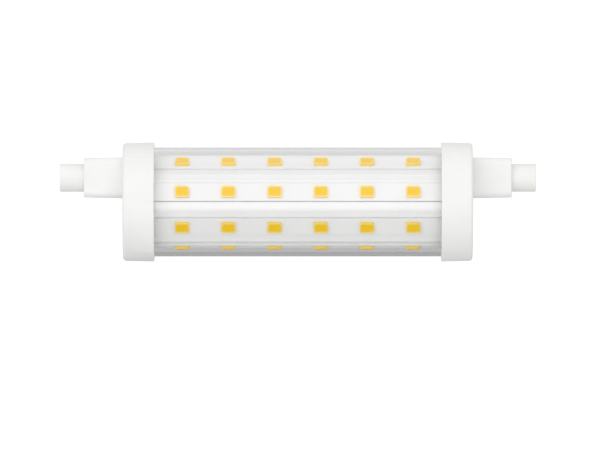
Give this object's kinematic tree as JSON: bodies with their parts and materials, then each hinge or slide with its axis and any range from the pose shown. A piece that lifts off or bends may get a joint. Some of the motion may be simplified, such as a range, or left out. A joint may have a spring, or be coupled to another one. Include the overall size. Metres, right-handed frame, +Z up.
{
  "type": "linear LED lamp",
  "caption": "Double-ended linear LED lamp: clear tube over rows of LEDs on an octagonal core, closed by white caps with off-centre bosses and recessed end contacts.",
  "frame": {"origin": "middle of the tube's axis, which is the centre of the whole lamp's box", "axes": "+X along the lamp to the right contact, +Z up towards the side that the end bosses are set to, +Y away from the camera"},
  "size_m": [0.118, 0.0294, 0.0294],
  "materials": {
    "clear_glass": "clear, polished",
    "white_core": "satin white coat on extruded aluminium",
    "white_board": "satin white mask on an aluminium board",
    "led_housing": "white moulding resin",
    "yellow_phosphor": "translucent yellow silicone",
    "white_cap": "satin moulded plastic",
    "white_ceramic": "unglazed white ceramic",
    "plated_contact": "nickel plated",
    "seal_silicone": "translucent adhesive",
    "liner_film": "milky insulating plastic",
    "lead_insulation": "soft silicone insulation",
    "feed_insulation": "soft silicone insulation",
    "bare_copper": "bare copper wire",
    "solder": "bright solder",
    "green_laminate": "green mask on glass laminate",
    "capacitor_wrap": "shrunk film sleeve",
    "ferrite": "dull grey ferrite",
    "film_case": "moulded case",
    "varistor_coat": "dipped coat",
    "fuse_coat": "painted coat",
    "black_moulding": "black moulding compound",
    "chip_ceramic": "fired ceramic chip"
  },
  "bodies": {
    "root": {"board_solder": "solder", "bridge_rectifier": "black_moulding", "chip_capacitors": "chip_ceramic", "chip_resistors": "black_moulding", "choke_core": "ferrite", "choke_winding": "bare_copper", "clear_tube": "clear_glass", "core": "white_core", "driver_board": "green_laminate", "driver_chip": "black_moulding", "driver_liner": "liner_film", "driver_solder": "solder", "electrolytic_capacitors": "capacitor_wrap", "feed_wires": "feed_insulation", "film_capacitor": "film_case", "fuse_resistor": "fuse_coat", "led_board_1": "white_board", "led_board_2": "white_board", "led_board_3": "white_board", "led_board_4": "white_board", "led_board_5": "white_board", "led_board_6": "white_board", "led_board_7": "white_board", "led_board_8": "white_board", "led_housings_1": "led_housing", "led_housings_2": "led_housing", "led_housings_3": "led_housing", "led_housings_4": "led_housing", "led_housings_5": "led_housing", "led_housings_6": "led_housing", "led_housings_7": "led_housing", "led_housings_8": "led_housing", "led_phosphor_1": "yellow_phosphor", "led_phosphor_2": "yellow_phosphor", "led_phosphor_3": "yellow_phosphor", "led_phosphor_4": "yellow_phosphor", "led_phosphor_5": "yellow_phosphor", "led_phosphor_6": "yellow_phosphor", "led_phosphor_7": "yellow_phosphor", "led_phosphor_8": "yellow_phosphor", "left_contact": "plated_contact", "left_contact_sleeve": "white_ceramic", "left_end_cap": "white_cap", "left_mains_lead": "lead_insulation", "left_tube_seal": "seal_silicone", "link_strips": "bare_copper", "output_diode": "black_moulding", "right_contact": "plated_contact", "right_contact_sleeve": "white_ceramic", "right_end_cap": "white_cap", "right_mains_lead": "lead_insulation", "right_tube_seal": "seal_silicone", "varistor": "varistor_coat"}
  },
  "joints": []
}
